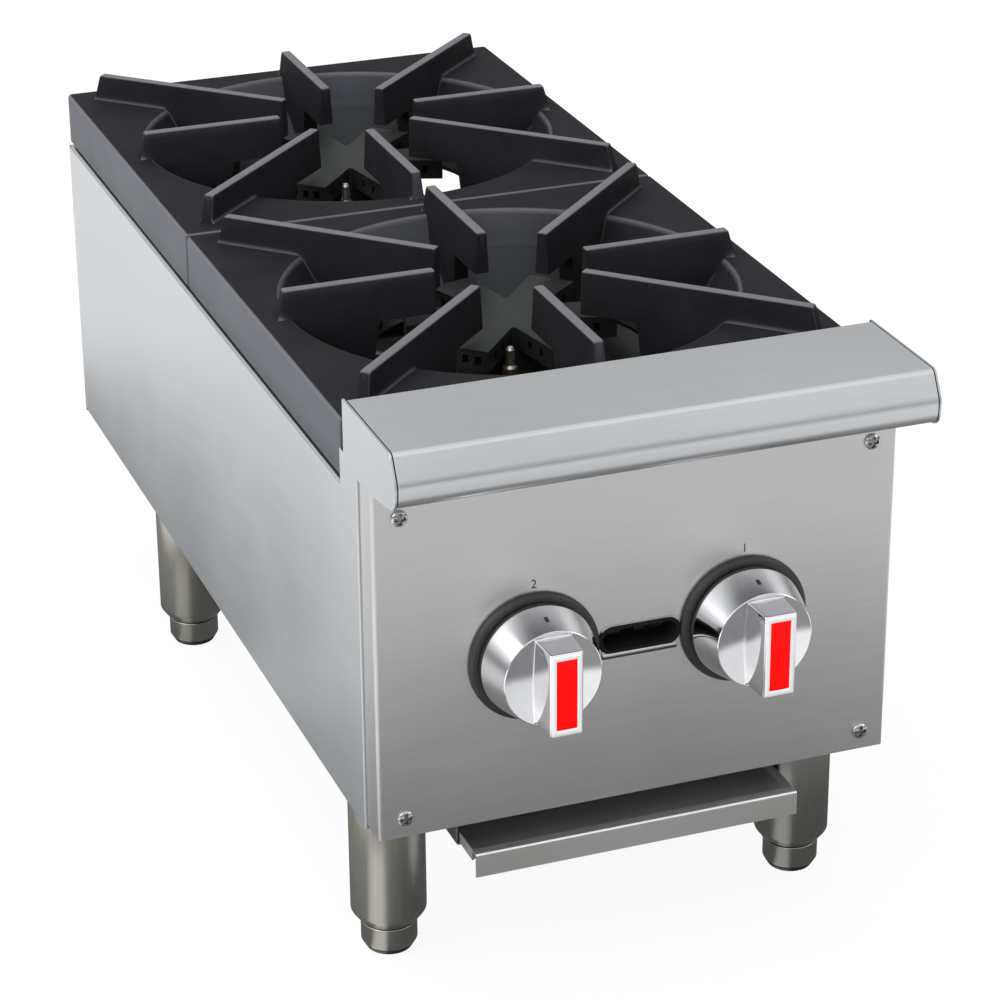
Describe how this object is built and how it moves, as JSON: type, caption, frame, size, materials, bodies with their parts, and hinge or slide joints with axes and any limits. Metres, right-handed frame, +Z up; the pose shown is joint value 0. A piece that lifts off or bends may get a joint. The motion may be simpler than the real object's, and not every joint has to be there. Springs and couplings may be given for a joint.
{
  "type": "countertop gas hotplate",
  "caption": "Narrow stainless countertop gas hotplate with cast-iron grates one behind the other, front ledge, turning knobs, slide-out crumb tray and adjustable feet.",
  "frame": {"origin": "centre of the footprint of the whole part, on the floor under the feet", "axes": "+X to the cook's right, +Y to the back, +Z up"},
  "size_m": [0.3106, 0.744, 0.36],
  "materials": {
    "body_steel": "fine horizontal brushing",
    "frame_steel": "plain mill finish",
    "tray_steel": "plain mill finish",
    "leg_steel": "satin",
    "foot_steel": "satin",
    "grate_iron": "sandy cast surface, matt black",
    "burner_iron": "sandy cast surface, matt grey black",
    "knob_chrome": "polished",
    "insert_red": "gloss",
    "bezel_black": "satin",
    "valve_brass": "machined",
    "stem_steel": "turned",
    "pipe_black": "matt black pipe",
    "pilot_aluminium": "drawn tube",
    "shutter_steel": "plain",
    "fastener_steel": "bright zinc"
  },
  "bodies": {
    "frame": {"left_side_panel": "body_steel", "right_side_panel": "body_steel", "back_panel": "body_steel", "front_panel": "body_steel", "front_ledge": "body_steel", "ledge_cap_left": "body_steel", "ledge_cap_right": "body_steel", "corner_post_left": "frame_steel", "corner_post_right": "frame_steel", "front_crossmember": "frame_steel", "middle_crossmember": "frame_steel", "front_base_rail": "frame_steel", "rear_base_rail": "frame_steel", "tray_runner_left": "frame_steel", "tray_runner_right": "frame_steel", "burner_support_front": "frame_steel", "burner_support_rear": "frame_steel", "manifold_brackets": "frame_steel", "leg_front_left": "leg_steel", "leg_front_right": "leg_steel", "leg_rear_left": "leg_steel", "leg_rear_right": "leg_steel", "burner_head_front": "burner_iron", "burner_head_rear": "burner_iron", "burner_body_front": "burner_iron", "burner_body_rear": "burner_iron", "knob_bezel_left": "bezel_black", "knob_bezel_right": "bezel_black", "valve_body_left": "valve_brass", "valve_body_right": "valve_brass", "orifice_left": "valve_brass", "orifice_right": "valve_brass", "pilot_valve_left": "valve_brass", "pilot_valve_right": "valve_brass", "pilot_tip_front": "valve_brass", "pilot_tip_rear": "valve_brass", "manifold_pipe": "pipe_black", "manifold_cap": "pipe_black", "manifold_elbow": "pipe_black", "supply_pipe": "pipe_black", "pilot_tube_front": "pilot_aluminium", "pilot_tube_rear": "pilot_aluminium", "front_panel_screws": "fastener_steel", "back_panel_screws": "fastener_steel", "leg_nuts": "fastener_steel"},
    "knob_left_turning": {"knob_left": "knob_chrome", "knob_insert_left": "insert_red", "valve_stem_left": "stem_steel"},
    "knob_right_turning": {"knob_right": "knob_chrome", "knob_insert_right": "insert_red", "valve_stem_right": "stem_steel"},
    "tray": {"crumb_tray": "tray_steel"},
    "front_grate": {"grate_front": "grate_iron"},
    "rear_grate": {"grate_rear": "grate_iron"},
    "front_shutter": {"air_shutter_front": "shutter_steel"},
    "rear_shutter": {"air_shutter_rear": "shutter_steel"},
    "front_left_foot": {"foot_front_left": "foot_steel"},
    "front_right_foot": {"foot_front_right": "foot_steel"},
    "rear_left_foot": {"foot_rear_left": "foot_steel"},
    "rear_right_foot": {"foot_rear_right": "foot_steel"}
  },
  "joints": [
    {"name": "knob_left_turn", "type": "hinge", "parent": "frame", "child": "knob_left_turning", "pos_m": [-0.0625, -0.322, 0.2075], "axis": [0, -1, 0], "range_deg": [0, 90]},
    {"name": "knob_right_turn", "type": "hinge", "parent": "frame", "child": "knob_right_turning", "pos_m": [0.0625, -0.322, 0.2075], "axis": [0, -1, 0], "range_deg": [0, 90]},
    {"name": "tray_slide", "type": "slide", "parent": "frame", "child": "tray", "axis": [0, -1, 0], "range_m": [0, 0.5]},
    {"name": "front_grate_lift", "type": "slide", "parent": "frame", "child": "front_grate", "axis": [0, 0, 1], "range_m": [0, 0.1]},
    {"name": "rear_grate_lift", "type": "slide", "parent": "frame", "child": "rear_grate", "axis": [0, 0, 1], "range_m": [0, 0.1]},
    {"name": "front_shutter_turn", "type": "hinge", "parent": "frame", "child": "front_shutter", "pos_m": [-0.0625, -0.218, 0.2075], "axis": [0, 1, 0], "range_deg": [0, 45]},
    {"name": "rear_shutter_turn", "type": "hinge", "parent": "frame", "child": "rear_shutter", "pos_m": [0.0625, -0.218, 0.2075], "axis": [0, 1, 0], "range_deg": [0, 45]},
    {"name": "front_left_foot_screw_out", "type": "slide", "parent": "frame", "child": "front_left_foot", "axis": [0, 0, -1], "range_m": [0, 0.025]},
    {"name": "front_right_foot_screw_out", "type": "slide", "parent": "frame", "child": "front_right_foot", "axis": [0, 0, -1], "range_m": [0, 0.025]},
    {"name": "rear_left_foot_screw_out", "type": "slide", "parent": "frame", "child": "rear_left_foot", "axis": [0, 0, -1], "range_m": [0, 0.025]},
    {"name": "rear_right_foot_screw_out", "type": "slide", "parent": "frame", "child": "rear_right_foot", "axis": [0, 0, -1], "range_m": [0, 0.025]}
  ]
}
